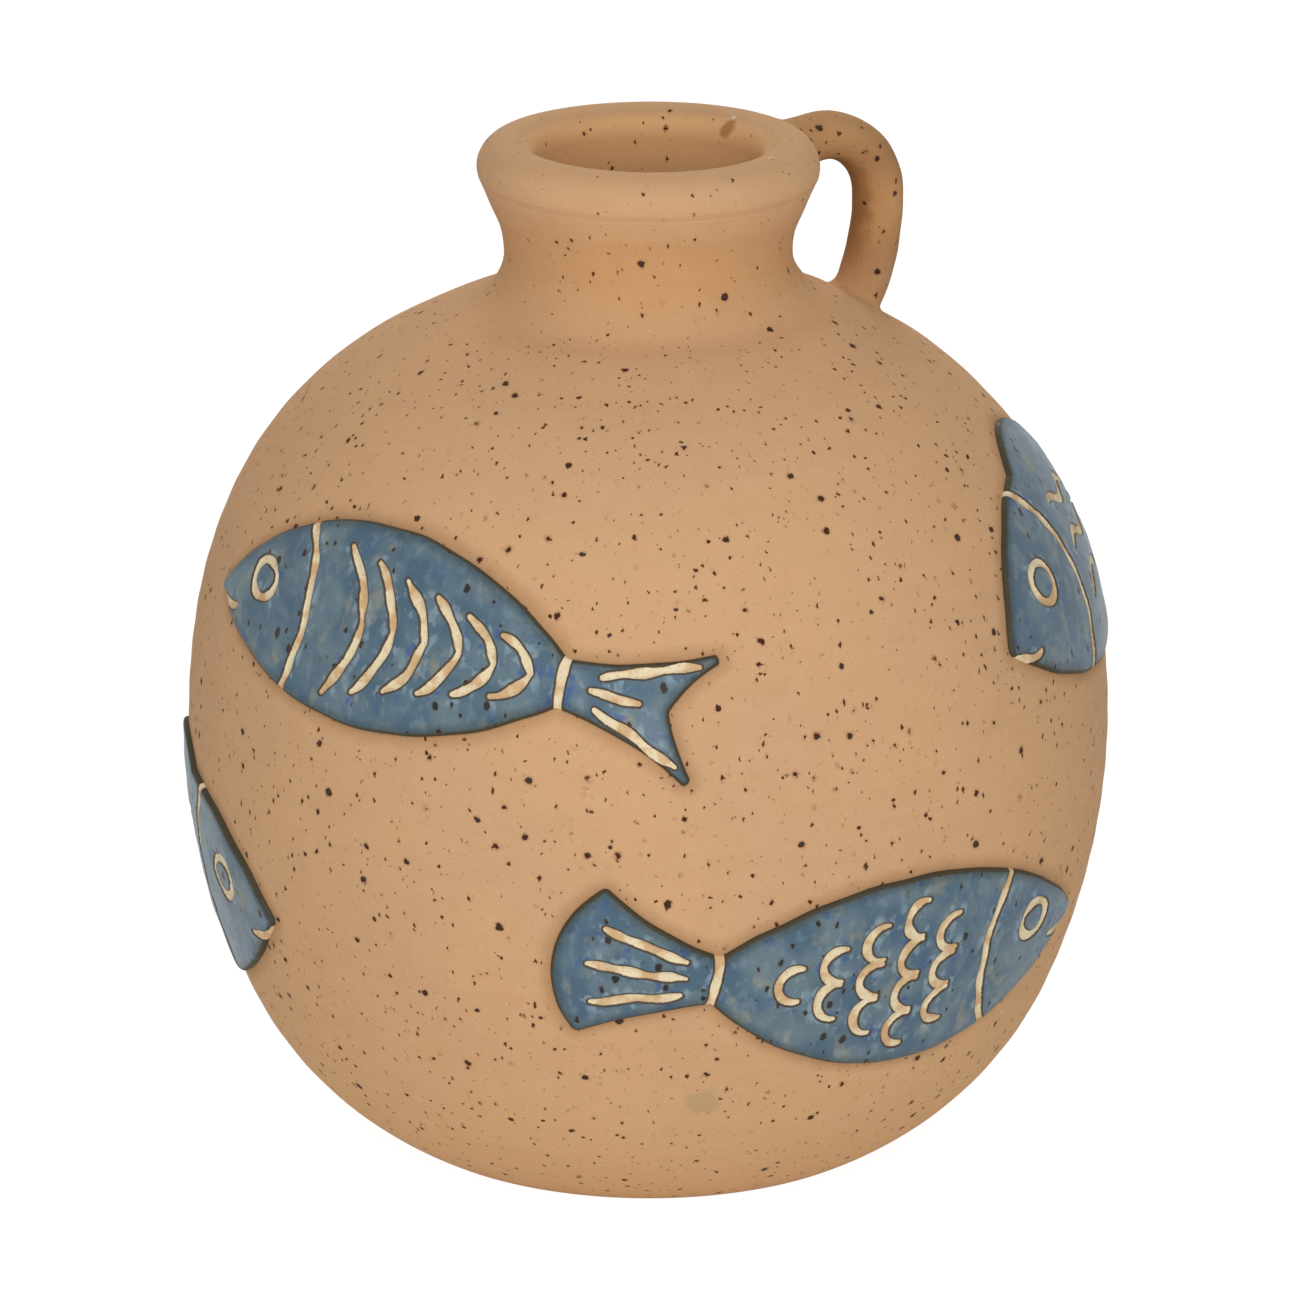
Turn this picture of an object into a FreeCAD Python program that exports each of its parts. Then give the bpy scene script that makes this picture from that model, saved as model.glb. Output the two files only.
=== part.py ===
import FreeCAD, Part
import math
import os

V = FreeCAD.Vector

# A small round stoneware jug with one finger ring, in millimetres.
# The turning axis is Z, the foot stands on Z = 0 and the handle lies along +X.
# The outer wall is three tangent arcs turned about the axis, and the pieces luted
# to it (neck, rolled rim, handle, flat clay fish) each start where the wall ends.

# Turned wall
belly_radius = 100.0
belly_height = 92.0
belly_arc = 144.0
lower_break = 22.7        # degrees below the belly where the lower arc takes over
lower_arc = 73.5
shoulder_break = 9.7      # degrees above the belly where the shoulder arc takes over
shoulder_arc = 87.6
wall = 5.6
seam_height = 183.8       # the neck is luted on here

# Foot and floor
foot_edge = 4.0
foot_ring_width = 8.0
foot_recess = 1.6
recess_edge = 1.2
floor_thickness = 7.0
floor_corner = 14.0

# Neck and rim
throat_radius = 24.2
waist_radius = 30.9
neck_fillet = 12.0
waist_height = 196.2
flare_arc = 19.3
lip_radius = 36.7
lip_height = 214.9
lip_roll = (lip_radius - throat_radius) / 2
rim_seam = 211.0          # the rolled rim is luted on here

# Handle: a rolled strip from the rim's side to the shoulder
handle_thickness = 10.6   # in the handle's own plane
handle_width = 12.2       # across it
handle_start = 31.0       # inside the rim's wall
handle_rise = 8.0         # degrees above level as it leaves the rim
handle_level = 215.6      # height of its centre line at the crest
handle_top_bend = 14.6
handle_reach = 58.1       # centre line's furthest distance from the axis
handle_side_bend = 52.0
handle_side_turn = 30.0   # degrees of the side bend, which ends inside the shoulder's wall
handle_stations = 18
root_spread = 1.75        # how much wider the strip is at its end in the shoulder
root_spread_length = 17.0

# Flat clay fish
fish_relief = 1.3
fish_corner = 1.6
line_depth = 0.55
line_width = 1.7
fish_low = 24.0           # the heights between which every fish lies
fish_high = 176.0

# Each fish: direction of its middle (degrees from +X), height of its middle, tilt
# (anticlockwise seen from outside), heading (+1 swims to the right seen from
# outside) and kind
shoal = {
    "fish_upper_left": (-150.0, 134.0, -5.0, -1, "herring"),
    "fish_upper_right": (-30.0, 136.0, 4.0, -1, "bream"),
    "fish_upper_back": (90.0, 133.0, -3.0, -1, "wrasse"),
    "fish_lower_right": (-92.0, 62.0, -5.0, 1, "wrasse"),
    "fish_lower_back": (28.0, 60.0, 4.0, 1, "herring"),
    "fish_lower_left": (148.0, 63.0, -3.0, 1, "bream"),
}

# An outline starts at the nose and goes over the back to the tail, and home along the
# belly, in bows: the point passed and the point reached, each as (distance behind the
# nose, distance above the middle line). The rings cut the eye, the gill and the root
# of the tail, each as a centre and a radius, and the last two run off the fish.
fish_kinds = {
    "herring": {
        "outline": [((43, 21.5), (95, 5.2)), ((109, 8.2), (127, 18.5)), ((119.5, 9), (115.5, 0)),
                    ((119.5, -9), (127, -18.5)), ((109, -8.2), (95, -5.2)), ((45, -20.5), (0, 0))],
        "length": 127.0,
        "rings": [((17.5, 3.6), 4.0), ((-7, 0), 40.0), ((129, 0), 34.0)],
    },
    "bream": {
        "outline": [((13, 16.6), (34, 24.2)), ((51, 29.6), (66, 21.6)), ((77.5, 12.6), (88, 5.6)),
                    ((102, 9.5), (119, 20.5)), ((113.5, 10), (111, 0)), ((113.5, -10), (119, -20.5)),
                    ((102, -9.5), (88, -5.6)), ((44, -24), (0, 0))],
        "length": 119.0,
        "rings": [((18, 5.4), 4.2), ((-8, 0), 42.0), ((122, 0), 34.0)],
    },
    "wrasse": {
        "outline": [((45, 22.5), (96, 5.6)), ((107, 9.6), (119, 17.5)), ((126, 0), (119, -17.5)),
                    ((107, -9.6), (96, -5.6)), ((47, -22), (0, 0))],
        "length": 126.0,
        "rings": [((17, 4), 4.0), ((-6, 0), 38.0), ((130, 0), 34.0)],
    },
}


def step(start, length, degrees):
    """The point reached from start by going length in that direction."""
    turn = math.radians(degrees)
    return (start[0] + length * math.cos(turn), start[1] + length * math.sin(turn))


def heading_of(start, end):
    """Direction from one profile point to another, in degrees."""
    return math.degrees(math.atan2(end[1] - start[1], end[0] - start[0]))


# Centres of the wall's arcs, as (distance from the axis, height)
belly_centre = (belly_radius - belly_arc, belly_height)
lower_centre = step(belly_centre, belly_arc - lower_arc, -lower_break)
shoulder_centre = step(belly_centre, belly_arc - shoulder_arc, shoulder_break)


def radius_on(centre, arc, height):
    """Distance from the axis of the arc's outer side at that height."""
    return centre[0] + math.sqrt(arc ** 2 - (height - centre[1]) ** 2)


def height_on(centre, arc, radius):
    """Height of the arc's upper side at that distance from the axis."""
    return centre[1] + math.sqrt(arc ** 2 - (radius - centre[0]) ** 2)


def at(point):
    """A profile point as a place in the XZ plane."""
    return V(point[0], 0, point[1])


def line(start, end):
    return Part.LineSegment(at(start), at(end)).toShape()


def bow(centre, radius, start, end, through):
    """An arc from start to end about centre, passing the direction through, in degrees."""
    middle = step(centre, radius, through)
    return Part.Arc(at(start), at(middle), at(end)).toShape()


def turned(edges):
    """A closed profile turned once round the Z axis."""
    face = Part.Face(Part.Wire(Part.__sortEdges__(edges)))
    return face.revolve(V(0, 0, 0), V(0, 0, 1), 360)


def wall_arcs(offset, low, high):
    """The wall's profile, offset outwards, from the point low up to the point high."""
    lower = lower_arc + offset
    belly = belly_arc + offset
    shoulder = shoulder_arc + offset
    low_join = step(belly_centre, belly, -lower_break)
    high_join = step(belly_centre, belly, shoulder_break)
    low_turn = heading_of(lower_centre, low)
    high_turn = heading_of(shoulder_centre, high)
    return [
        bow(lower_centre, lower, low, low_join, (low_turn - lower_break) / 2),
        bow(belly_centre, belly, low_join, high_join, 0),
        bow(shoulder_centre, shoulder, high_join, high, (high_turn + shoulder_break) / 2),
    ]


# Where the neck is luted on the shoulder
seam_outer = (radius_on(shoulder_centre, shoulder_arc, seam_height), seam_height)
seam_inner = (throat_radius, seam_height)


# Vessel body: foot, floor, belly and shoulder, thrown in one piece

def vessel_body():
    edge_centre = (radius_on(lower_centre, lower_arc - foot_edge, foot_edge), foot_edge)
    edge_turn = heading_of(lower_centre, edge_centre)
    edge_top = step(edge_centre, foot_edge, edge_turn)
    foot_outer = (edge_centre[0], 0.0)
    recess_outer = foot_outer[0] - foot_ring_width
    recess_inner = recess_outer - recess_edge

    inner_lower = lower_arc - wall
    throat_low = (throat_radius, height_on(shoulder_centre, shoulder_arc - wall, throat_radius))
    corner_height = floor_thickness + floor_corner
    corner_centre = (radius_on(lower_centre, inner_lower - floor_corner, corner_height),
                     corner_height)
    corner_turn = heading_of(lower_centre, corner_centre)
    corner_top = step(corner_centre, floor_corner, corner_turn)
    corner_low = (corner_centre[0], floor_thickness)

    profile = [
        line((0.0, foot_recess), (recess_inner, foot_recess)),
        line((recess_inner, foot_recess), (recess_outer, 0.0)),
        line((recess_outer, 0.0), foot_outer),
        bow(edge_centre, foot_edge, foot_outer, edge_top, (edge_turn - 90) / 2),
        line(seam_outer, seam_inner),
        line(seam_inner, throat_low),
        bow(corner_centre, floor_corner, corner_top, corner_low, (corner_turn - 90) / 2),
        line(corner_low, (0.0, floor_thickness)),
        line((0.0, floor_thickness), (0.0, foot_recess)),
    ]
    profile += wall_arcs(0.0, edge_top, seam_outer)
    profile += wall_arcs(-wall, corner_top, throat_low)
    return turned(profile)


# Neck collar and rolled rim: one outline, divided at the rim's seam

def neck_and_rim():
    fillet_radius = waist_radius + neck_fillet
    fillet_centre = (fillet_radius,
                     height_on(shoulder_centre, shoulder_arc + neck_fillet, fillet_radius))
    fillet_turn = heading_of(shoulder_centre, fillet_centre)
    on_shoulder = step(shoulder_centre, shoulder_arc, fillet_turn)
    on_waist = (waist_radius, fillet_centre[1])
    waist_top = (waist_radius, waist_height)

    # the slope between the flare's hollow bow and the lip touches both of them
    flare_centre = (waist_radius + flare_arc, waist_height)
    lip_centre = (lip_radius - lip_roll, lip_height)
    reach = math.dist(flare_centre, lip_centre)
    touch = heading_of(flare_centre, lip_centre) + math.degrees(
        math.acos((flare_arc + lip_roll) / reach))
    flare_end = step(flare_centre, flare_arc, touch)
    lip_start = step(lip_centre, -lip_roll, touch)
    lip_inner = (throat_radius, lip_height)

    seam_turn = heading_of(shoulder_centre, seam_outer)
    profile = [
        bow(shoulder_centre, shoulder_arc, seam_outer, on_shoulder, (seam_turn + fillet_turn) / 2),
        bow(fillet_centre, neck_fillet, on_shoulder, on_waist, (fillet_turn + 360) / 2),
        line(on_waist, waist_top),
        bow(flare_centre, flare_arc, waist_top, flare_end, (180 + touch) / 2),
        line(flare_end, lip_start),
        bow(lip_centre, lip_roll, lip_start, lip_inner, touch / 2),
        line(lip_inner, seam_inner),
        line(seam_inner, seam_outer),
    ]
    return turned(profile)


def slab(low, high):
    """A round block, wider than the rim, between two heights."""
    return Part.makeCylinder(2 * lip_radius, high - low, V(0, 0, low))


# Handle: ellipses square to a centre line of one straight and two bends

def eased(share):
    """0 to 1 as share goes from 0 to 1, level at both ends."""
    share = min(max(share, 0.0), 1.0)
    return share * share * (3 - 2 * share)


def handle(neighbours):
    top_centre = (handle_reach - handle_top_bend, handle_level - handle_top_bend)
    side_centre = (handle_reach - handle_side_bend, handle_level - handle_top_bend)
    bend_start = step(top_centre, handle_top_bend, 90 + handle_rise)
    straight = (bend_start[0] - handle_start) / math.cos(math.radians(handle_rise))
    top_bend = handle_top_bend * math.radians(90 + handle_rise)
    side_bend = handle_side_bend * math.radians(handle_side_turn)
    length = straight + top_bend + side_bend

    sections = []
    for number in range(handle_stations):
        travelled = length * number / (handle_stations - 1)
        if travelled < straight:
            outward = 90 + handle_rise
            place = step(bend_start, travelled - straight, handle_rise)
        elif travelled < straight + top_bend:
            outward = 90 + handle_rise - math.degrees((travelled - straight) / handle_top_bend)
            place = step(top_centre, handle_top_bend, outward)
        else:
            outward = -math.degrees((travelled - straight - top_bend) / handle_side_bend)
            place = step(side_centre, handle_side_bend, outward)
        at_root = 1 - eased((length - travelled) / root_spread_length)
        spread = 1 + (root_spread - 1) * at_root
        edge = step(place, handle_thickness / 2 * spread, outward)
        side = at(place) + V(0, handle_width / 2 * spread, 0)
        sections.append(Part.Wire(Part.Ellipse(side, at(edge), at(place)).toShape()))
    strip = Part.makeLoft(sections, True, False)
    for piece in neighbours:
        strip = strip.cut(piece)
    return max(strip.Solids, key=lambda solid: solid.Volume)


# Fish: a flat outline pushed through a thin shell that lies on the wall

def fish_frame(direction, height, tilt):
    """Middle of a fish on the wall, with its directions along, up and outwards."""
    if height > belly_height + belly_arc * math.sin(math.radians(shoulder_break)):
        centre, arc = shoulder_centre, shoulder_arc
    else:
        centre, arc = belly_centre, belly_arc
    lean = math.asin((height - centre[1]) / arc)
    radius = radius_on(centre, arc, height)
    theta = math.radians(direction)
    outward = V(math.cos(theta) * math.cos(lean), math.sin(theta) * math.cos(lean),
                math.sin(lean))
    level = V(-math.sin(theta), math.cos(theta), 0)
    steep = outward.cross(level)
    turn = math.radians(tilt)
    middle = V(radius * math.cos(theta), radius * math.sin(theta), height)
    along = level * math.cos(turn) + steep * math.sin(turn)
    up = steep * math.cos(turn) - level * math.sin(turn)
    return middle, along, up, outward


def fish(direction, height, tilt, heading, kind_name, shell, line_shell):
    kind = fish_kinds[kind_name]
    middle, along, up, outward = fish_frame(direction, height, tilt)
    in_front = 20.0       # the outline is drawn this far in front of the wall
    depth = 70.0          # and pushed this far back through it

    def spot(behind, above):
        """A place of the flat drawing."""
        forward = heading * (kind["length"] / 2 - behind)
        return middle + along * forward + up * above + outward * in_front

    edges = []
    start = (0, 0)
    for through, end in kind["outline"]:
        edges.append(Part.Arc(spot(*start), spot(*through), spot(*end)).toShape())
        start = end
    block = Part.Face(Part.Wire(edges)).extrude(outward * -depth)
    upright = [edge for edge in block.Edges if abs(edge.Length - depth) < line_depth]
    flat = block.makeFillet(fish_corner, upright).common(shell)
    for centre, radius in kind["rings"]:
        outer = Part.makeCylinder(radius + line_width / 2, depth, spot(*centre), outward * -1)
        inner = Part.makeCylinder(radius - line_width / 2, depth, spot(*centre), outward * -1)
        flat = flat.cut(outer.cut(inner).common(line_shell))
    return flat


def relief_shell(inside, outside):
    """A thin shell between two offsets from the wall, over the fish's heights."""
    low_inside = (radius_on(lower_centre, lower_arc + inside, fish_low), fish_low)
    low_outside = (radius_on(lower_centre, lower_arc + outside, fish_low), fish_low)
    high_inside = (radius_on(shoulder_centre, shoulder_arc + inside, fish_high), fish_high)
    high_outside = (radius_on(shoulder_centre, shoulder_arc + outside, fish_high), fish_high)
    profile = wall_arcs(inside, low_inside, high_inside)
    profile += wall_arcs(outside, low_outside, high_outside)
    profile += [line(low_inside, low_outside), line(high_inside, high_outside)]
    return turned(profile)


def main():
    os.makedirs("parts", exist_ok=True)
    body = vessel_body()
    neck = neck_and_rim()
    collar = neck.common(slab(seam_height, rim_seam))
    rim = neck.common(slab(rim_seam, lip_height + 2 * lip_roll))
    pieces = {
        "vessel_body": body,
        "neck_collar": collar,
        "rolled_rim": rim,
        "handle": handle([body, collar, rim]),
    }
    shell = relief_shell(0.0, fish_relief)
    line_shell = relief_shell(fish_relief - line_depth, fish_relief + line_depth)
    for name, (direction, height, tilt, heading, kind) in shoal.items():
        pieces[name] = fish(direction, height, tilt, heading, kind, shell, line_shell)
    for name, shape in pieces.items():
        shape.exportStep(f"parts/{name}.step")
        box = shape.optimalBoundingBox(False)
        print(f"{name}: {len(shape.Solids)} solid(s), valid {shape.isValid()}, "
              f"{shape.Volume / 1000:.2f} cm3, x {box.XMin:.1f} to {box.XMax:.1f}, "
              f"z {box.ZMin:.2f} to {box.ZMax:.2f}")


main()
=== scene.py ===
import math
import random

import bmesh
import bpy
import numpy as np
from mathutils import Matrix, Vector
from mathutils.kdtree import KDTree


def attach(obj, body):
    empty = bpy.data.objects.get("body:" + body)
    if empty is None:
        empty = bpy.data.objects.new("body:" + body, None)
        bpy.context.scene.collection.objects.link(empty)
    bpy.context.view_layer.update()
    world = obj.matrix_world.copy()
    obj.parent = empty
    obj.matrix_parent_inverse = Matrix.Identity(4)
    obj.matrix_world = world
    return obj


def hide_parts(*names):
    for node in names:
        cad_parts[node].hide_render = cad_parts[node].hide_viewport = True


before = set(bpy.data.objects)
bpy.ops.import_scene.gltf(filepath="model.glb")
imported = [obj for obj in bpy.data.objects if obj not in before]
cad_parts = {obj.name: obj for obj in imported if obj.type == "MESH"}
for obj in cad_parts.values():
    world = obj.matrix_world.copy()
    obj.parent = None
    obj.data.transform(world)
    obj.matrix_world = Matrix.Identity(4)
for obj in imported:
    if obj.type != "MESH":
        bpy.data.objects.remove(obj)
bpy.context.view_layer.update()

mm = 0.001


# The shot. The jug stands alone on a white table, in a white room that lights it from
# all round, with a broad soft lamp over the camera, one under it and a weak one behind.

def srgb(red, green, blue):
    """A colour read off a screen, 0 to 255, as light."""
    shares = (c / 255 for c in (red, green, blue))
    return tuple(c / 12.92 if c < 0.04045 else ((c + 0.055) / 1.055) ** 2.4 for c in shares)


class Value:
    """A number that changes over a surface. Sums with it add their own Math nodes."""

    def __init__(self, finish, socket):
        self.finish, self.socket = finish, socket

    def sum(self, operation, *terms):
        return self.finish.add("ShaderNodeMath", {"operation": operation}, dict(enumerate(terms)))

    def __add__(self, other):
        return self.sum("ADD", self, other)

    def __sub__(self, other):
        return self.sum("SUBTRACT", self, other)

    def __rsub__(self, other):
        return self.sum("SUBTRACT", other, self)

    def __mul__(self, other):
        return self.sum("MULTIPLY", self, other)

    def __truediv__(self, other):
        return self.sum("DIVIDE", self, other)

    def __pow__(self, other):
        return self.sum("POWER", self, other)

    def below(self, other):
        return self.sum("LESS_THAN", self, other)

    def lower(self, other):
        return self.sum("MINIMUM", self, other)

    def higher(self, other):
        return self.sum("MAXIMUM", self, other)

    __radd__ = __add__
    __rmul__ = __mul__


class Finish:
    """The nodes of one finish, of a material or of the room's light."""

    def __init__(self, owner):
        owner.use_nodes = True
        self.tree = owner.node_tree
        self.tree.nodes.clear()

    def add(self, kind, settings=None, sockets=None, out=0):
        """Adds a node, sets it up and gives the named or numbered output."""
        node = self.tree.nodes.new(kind)
        for name, setting in (settings or {}).items():
            setattr(node, name, setting)
        for name, value in (sockets or {}).items():
            if isinstance(value, Value):
                self.tree.links.new(value.socket, node.inputs[name])
            elif isinstance(value, (int, float)):
                node.inputs[name].default_value = value
            else:
                size = len(node.inputs[name].default_value)
                node.inputs[name].default_value = (*value, 1.0)[:size]
        if node.outputs:
            return Value(self, node.outputs[out])

    def sibling(self, value, out):
        """Another output of the node that a value comes from."""
        return Value(self, value.socket.node.outputs[out])

    def tint(self, share, plain, other):
        """A colour that goes from plain to other as share goes from 0 to 1."""
        return self.add("ShaderNodeMix", {"data_type": "RGBA"},
                        {0: share, 6: plain, 7: other}, out=2)

    def rise(self, value, low, high):
        """0 where value is below low, 1 where it is above high, and smooth between."""
        return self.add("ShaderNodeMapRange", {"interpolation_type": "SMOOTHSTEP"},
                        {"Value": value, "From Min": low, "From Max": high})

    def place(self):
        """Where a point lies on the jug, in metres."""
        return self.add("ShaderNodeTexCoord", out="Object")

    def stretched(self, vector, stretch):
        """A place with each direction scaled."""
        return self.add("ShaderNodeVectorMath", {"operation": "MULTIPLY"}, {0: vector, 1: stretch})

    def cloud(self, vector, size, detail=2.0, out="Fac"):
        """Soft noise from 0 to 1 whose patches are about size mm across."""
        return self.add("ShaderNodeTexNoise", None,
                        {"Vector": vector, "Scale": 1000 / size, "Detail": detail}, out=out)


aim = Vector((0.38, -0.22, 106)) * mm
camera_turn, camera_rise, camera_reach = -120, 18.3, 1600
lens, film_width = 203.4, 36.0
lamp_reach, lamp_side = 1000, 420
lamps = (("over_camera", -119, 36, 0.25), ("under_camera", -120, 3, 0.20), ("behind", 60, 36, 0.26))
room_light = 0.45          # what the white room throws on the jug from all round
table_size = 4000
table_glow, glow_unseen, glow_seen = 1.12, 0.15, 0.71


def beside(name, data, turn, rise, reach):
    """Puts a lamp or camera at that turn, rise and distance from the jug, facing it."""
    turn, rise = math.radians(turn), math.radians(rise)
    away = Vector((math.cos(turn) * math.cos(rise), math.sin(turn) * math.cos(rise),
                   math.sin(rise)))
    thing = bpy.data.objects.new(name, data)
    bpy.context.scene.collection.objects.link(thing)
    thing.location = aim + away * reach * mm
    thing.rotation_euler = away.to_track_quat("Z", "Y").to_euler()
    return thing


bpy.context.scene.view_settings.view_transform = "Standard"
camera = bpy.data.cameras.new("camera")
camera.lens = lens
camera.sensor_width = film_width
bpy.context.scene.camera = beside("camera", camera, camera_turn, camera_rise, camera_reach)

for name, turn, rise, share in lamps:      # share of full light on a surface that faces it
    lamp = bpy.data.lights.new(name, "AREA")
    lamp.energy = share * (math.pi * lamp_reach * mm) ** 2
    lamp.size = lamp_side * mm
    beside(name, lamp, turn, rise, lamp_reach)

room = bpy.data.worlds.new("white_room")
bpy.context.scene.world = room
walls = Finish(room)
eye = walls.add("ShaderNodeLightPath", out="Is Camera Ray")
seen = eye + walls.sibling(eye, "Is Glossy Ray") + walls.sibling(eye, "Is Transmission Ray")
glow = walls.add("ShaderNodeBackground", None,
                 {"Color": (1, 1, 1), "Strength": room_light + (1 - room_light) * seen.lower(1)})
walls.add("ShaderNodeOutputWorld", None, {"Surface": glow})

table_mesh = bmesh.new()
bmesh.ops.create_grid(table_mesh, x_segments=1, y_segments=1, size=table_size * mm)
table_data = bpy.data.meshes.new("table")
table_mesh.to_mesh(table_data)
table_mesh.free()
table = bpy.data.objects.new("table", table_data)
bpy.context.scene.collection.objects.link(table)
table_finish = bpy.data.materials.new("white_table")
table_data.materials.append(table_finish)
top = Finish(table_finish)
white_paint = top.add("ShaderNodeBsdfDiffuse", None, {"Color": (0.9, 0.9, 0.9)})
lit_paper = top.add("ShaderNodeEmission", None, {"Color": (1, 1, 1), "Strength": table_glow})
eye = top.add("ShaderNodeLightPath", out="Is Camera Ray")
seen = eye + top.sibling(eye, "Is Glossy Ray") + top.sibling(eye, "Is Transmission Ray")
top.add("ShaderNodeOutputMaterial", None,
        {"Surface": top.add("ShaderNodeMixShader", None,
                            {0: glow_unseen + glow_seen * seen.lower(1),
                             1: white_paint, 2: lit_paper})})


# The vessel body. A round pot of sandy stoneware with iron in it, thrown on the wheel
# with its floor, turned at the foot and left bare, so it fires matt with dark specks.

belly_radius, belly_height, belly_arc = 100.0, 92.0, 144.0
lower_break, lower_arc = -22.7, 73.5       # degrees from the belly, where each arc takes over
shoulder_break, shoulder_arc = 9.7, 87.6
wall = 5.6
seam_height = 183.8
throat_radius = 24.2
foot_edge, foot_ring_width, foot_recess, recess_edge = 4.0, 8.0, 1.6, 1.2
floor_thickness, floor_corner = 7.0, 14.0
ring_gap = 1.4                             # between the rings of the outer wall's mesh
inner_gap = 3.2


def step(start, length, degrees):
    """The profile point reached by going length from start in that direction."""
    turn = math.radians(degrees)
    return start[0] + length * math.cos(turn), start[1] + length * math.sin(turn)


def heading(start, end):
    """Direction from one profile point to another, in degrees."""
    return math.degrees(math.atan2(end[1] - start[1], end[0] - start[0]))


belly_centre = (belly_radius - belly_arc, belly_height)
lower_centre = step(belly_centre, belly_arc - lower_arc, lower_break)
shoulder_centre = step(belly_centre, belly_arc - shoulder_arc, shoulder_break)


def across(centre, arc, height):
    """Distance from the axis of an arc's outer side at that height."""
    return centre[0] + math.sqrt(arc ** 2 - (height - centre[1]) ** 2)


def above(centre, arc, radius):
    """Height of an arc's upper side at that distance from the axis."""
    return centre[1] + math.sqrt(arc ** 2 - (radius - centre[0]) ** 2)


class Rib:
    """The half outline of a turned piece, drawn from point to point in the XZ plane, in mm."""

    def __init__(self, x, z):
        self.mesh = bmesh.new()
        self.pen = self.mesh.verts.new((x, 0, z))

    def run(self, x, z, steps=1):
        """Draws a straight run."""
        start, end = self.pen.co.copy(), Vector((x, 0, z))
        for number in range(1, steps + 1):
            self.pen = bmesh.ops.extrude_vert_indiv(self.mesh, verts=[self.pen])["verts"][0]
            self.pen.co = start.lerp(end, number / steps)

    def bow(self, centre, until, gap):
        """Draws a bow of under half a turn, until it lies in that direction from the centre."""
        turn = until - heading(centre, (self.pen.co.x, self.pen.co.z))
        turn = (turn + 180) % 360 - 180
        reach = math.dist(centre, (self.pen.co.x, self.pen.co.z))
        steps = max(2, round(abs(math.radians(turn)) * reach / gap))
        drawn = bmesh.ops.spin(self.mesh, geom=[self.pen], cent=(centre[0], 0, centre[1]),
                               axis=(0, -1, 0), angle=math.radians(turn), steps=steps)
        self.pen = [part for part in drawn["geom_last"] if isinstance(part, bmesh.types.BMVert)][0]

    def turned(self, segments=288):
        """The outline turned once round the axis."""
        bmesh.ops.spin(self.mesh, geom=self.mesh.verts[:] + self.mesh.edges[:], cent=(0, 0, 0),
                       axis=(0, 0, 1), angle=math.tau, steps=segments, use_merge=True)
        bmesh.ops.remove_doubles(self.mesh, verts=self.mesh.verts, dist=0.001)
        bmesh.ops.recalc_face_normals(self.mesh, faces=self.mesh.faces)
        return self.mesh


slump, slump_height = 1.35, 160.0          # the shoulder leans away from the handle
sunk, sunk_radius = 0.40, 52.0             # and has sunk a little round the neck
heap, heap_radius, heap_turn = 1.5, 41.0, -0.4       # clay heaped up beside the handle, radians
fill, fill_height = 1.3, 188.0             # and smoothed into the neck's hollow there
crest = 0.5                                # the rim and the handle's top rise a little
out_of_round, three_sided, ridge_depth, rim_tilt = 0.24, 0.15, 0.05, 0.22


def by_hand(places):
    """Where points of the true shape, in mm, lie on the pot as its maker's hands left it."""
    x, y, z = places.T
    turn, radius = np.arctan2(y, x), np.hypot(x, y)
    full = np.clip(radius / 40, 0, 1)
    swell = out_of_round * np.cos(2 * turn + 0.7 + z / 90)
    swell = swell + three_sided * np.cos(3 * turn - 1.1 + z / 60)
    ridges = ridge_depth * np.sin(z / 1.3 + 0.8 * np.cos(turn)) * np.clip(z / 20, 0, 1)
    near_handle = np.exp(-((turn - heap_turn) / 0.7) ** 2)
    filled = np.exp(-((z - fill_height) / 5) ** 2) * np.clip((46 - radius) / 6, 0, 1)
    out = full * (swell + ridges) + fill * near_handle * filled
    leant = slump * full * np.exp(-((z - slump_height) / 23) ** 2)
    heaped = heap * near_handle * np.exp(-((radius - heap_radius) / 5) ** 2)
    heaped = heaped * np.clip((z - 176) / 5, 0, 1) * np.clip((202 - z) / 8, 0, 1)
    dipped = sunk * np.exp(-((radius - sunk_radius) / 9) ** 2) * np.clip((z - 165) / 10, 0, 1)
    tilted = rim_tilt * np.cos(2 * turn + 0.4) * np.clip((z - 190) / 30, 0, 1)
    raised = crest * np.clip((radius - 38) / 8, 0, 1) * np.clip((z - 200) / 12, 0, 1)
    moved = places.copy()
    moved[:, 0] += out * np.cos(turn) - math.cos(math.radians(30)) * leant
    moved[:, 1] += out * np.sin(turn) + math.sin(math.radians(30)) * leant
    moved[:, 2] += tilted + heaped - dipped + raised
    return moved


def corners(mesh):
    """A mesh's vertices as rows of x, y and z."""
    rows = np.empty(len(mesh.vertices) * 3)
    mesh.vertices.foreach_get("co", rows)
    return rows.reshape(-1, 3)


def fired(shape, name, node, finish, marks=None):
    """Makes the finished piece from its shape in mm, in place of its plain CAD node."""
    mesh = bpy.data.meshes.new(name)
    shape.to_mesh(mesh)
    shape.free()
    mesh.vertices.foreach_set("co", (by_hand(corners(mesh)) * mm).ravel())
    mesh.shade_smooth()
    mesh.set_sharp_from_angle(angle=math.radians(60))
    for mark, values in (marks or {}).items():
        mesh.attributes.new(mark, "FLOAT", "POINT").data.foreach_set("value", values)
    mesh.materials.append(finish)
    thing = bpy.data.objects.new(name, mesh)
    bpy.context.scene.collection.objects.link(thing)
    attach(thing, "root")
    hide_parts(node)
    return thing


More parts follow.
